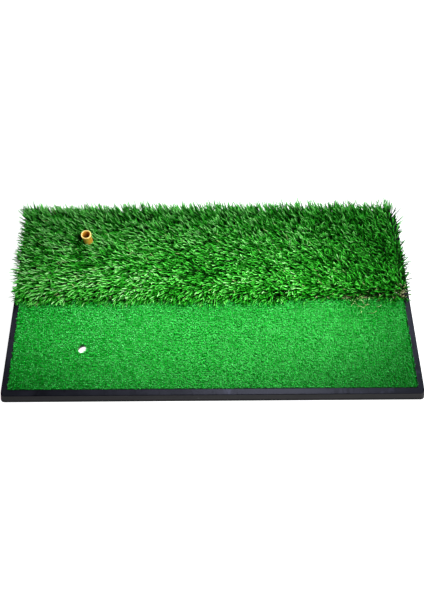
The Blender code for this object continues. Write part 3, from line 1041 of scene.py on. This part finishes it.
def add_softbox(name, place, target, size, power, colour=WHITE):
    """A round soft light."""
    data = bpy.data.lights.new(name, "AREA")
    data.shape = "DISK"
    data.size = size
    data.energy = power
    data.color = colour
    aim(bpy.data.objects.new(name, data), place, target)


def add_pool(name, place, target, angle, stretch, size, power):
    """A soft-edged pool of light, longer along the mat than across it."""
    data = bpy.data.lights.new(name, "SPOT")
    data.spot_size = math.radians(angle)
    data.spot_blend = 1.0
    data.shadow_soft_size = size
    data.energy = power
    lamp = bpy.data.objects.new(name, data)
    aim(lamp, place, target)
    lamp.scale = (stretch, 1, 1)


def make_lights():
    """A key light from above, three soft fills and a pale world."""
    world = bpy.data.worlds.new("studio")
    world.use_nodes = True
    nodes, links = world.node_tree.nodes, world.node_tree.links
    background = nodes["Background"]
    background.inputs["Color"].default_value = PLAIN_WHITE
    links.new(seen_or_lighting(nodes, links, WORLD_GLOW), background.inputs["Strength"])
    bpy.context.scene.world = world
    add_pool(
        "key_pool", place=(0.32, 0.04, 1.10), target=(-0.012, -0.028, 0.0),
        angle=16.2, stretch=2.50, size=0.05, power=189,
    )
    add_softbox("side_softbox", place=(0.80, -0.60, 0.55), target=(0.10, -0.12, 0), size=0.40, power=8.0)
    add_softbox("back_softbox", place=(0.15, 0.75, 0.55), target=(0.0, 0.10, 0), size=0.35, power=9.0)
    add_softbox(
        "top_softbox", place=(0.24, 0.05, 0.80), target=(-0.03, -0.02, 0),
        size=0.42, power=4.6, colour=(0.80, 0.90, 1.0),
    )


def make_camera():
    """The camera stands in front of the mat and looks steeply down on it."""
    data = bpy.data.cameras.new("camera")
    data.sensor_fit = "HORIZONTAL"
    data.sensor_width = SENSOR_WIDTH
    data.lens = CAMERA_LENS
    camera = bpy.data.objects.new("camera", data)
    pitch, yaw, roll = (math.radians(angle) for angle in (CAMERA_PITCH, CAMERA_YAW, CAMERA_ROLL))
    ahead = Vector(
        (math.sin(yaw) * math.cos(pitch), math.cos(yaw) * math.cos(pitch), -math.sin(pitch))
    )
    level = Vector((math.cos(yaw), -math.sin(yaw), 0))
    above = level.cross(ahead)
    right = math.cos(roll) * level + math.sin(roll) * above
    up = -math.sin(roll) * level + math.cos(roll) * above
    turn = Matrix((right, up, -ahead)).transposed().to_4x4()
    camera.matrix_world = Matrix.Translation(CAMERA_PLACE) @ turn
    bpy.context.scene.camera = link(camera)


# ---------------------------------------------------------------- build


def dress(node, material):
    """A CAD node that is shown as it is takes a better material."""
    node.data.materials.clear()
    node.data.materials.append(material)


def make_long_turf():
    """Blades over curly thatch."""
    blade = strand_material(
        "green_blades", BLADE_SHADES, BLADE_PAINTED_ROOT_SHADE, roughness=0.42, streak=900.0,
        specular=0.15, glint=(0.35, 1.0, 0.30), fade=(0.69, 0.98),
    )
    make_blades(blade)
    thatch = strand_material(
        "tan_thatch", THATCH_SHADES, THATCH_PAINTED_ROOT_SHADE, roughness=0.55, streak=1500.0
    )
    make_thatch(thatch)
    make_frayed_thatch(thatch)


def make_short_turf():
    """Short yarn over a dense bed."""
    yarn = strand_material(
        "short_green_yarn", YARN_SHADES, YARN_PAINTED_ROOT_SHADE, roughness=0.6, streak=1400.0,
        specular=0.05, glint=(0.25, 1.0, 0.35), fade=(0.25, 0.90),
    )
    bed = cloudy_material("yarn_bed", *BED_SHADES, scale=900.0, roughness=0.9)
    make_turf_bed(bed)
    make_short_yarn(yarn)


bpy.context.scene.view_settings.view_transform = "Standard"
make_camera()
make_lights()
make_floor()

dress(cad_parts["rubber_base"], rubber_material())
LAYERS = {
    "adhesive": cloudy_material(
        "amber_hot_melt", (0.30, 0.22, 0.10), (0.55, 0.45, 0.25), scale=120.0, roughness=0.4
    ),
    "latex_coat": cloudy_material(
        "grey_latex", (0.09, 0.095, 0.10), (0.17, 0.175, 0.18), scale=200.0, roughness=0.65
    ),
    "primary_backing": weave_material(
        "woven_tape", (0.012, 0.014, 0.012), (0.040, 0.045, 0.040), thread=0.0013
    ),
}
for strip in ("short_turf", "long_turf"):
    for layer, material in LAYERS.items():
        dress(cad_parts[f"{strip}_{layer}"], material)

make_long_turf()
make_short_turf()
make_tee(tee_material())
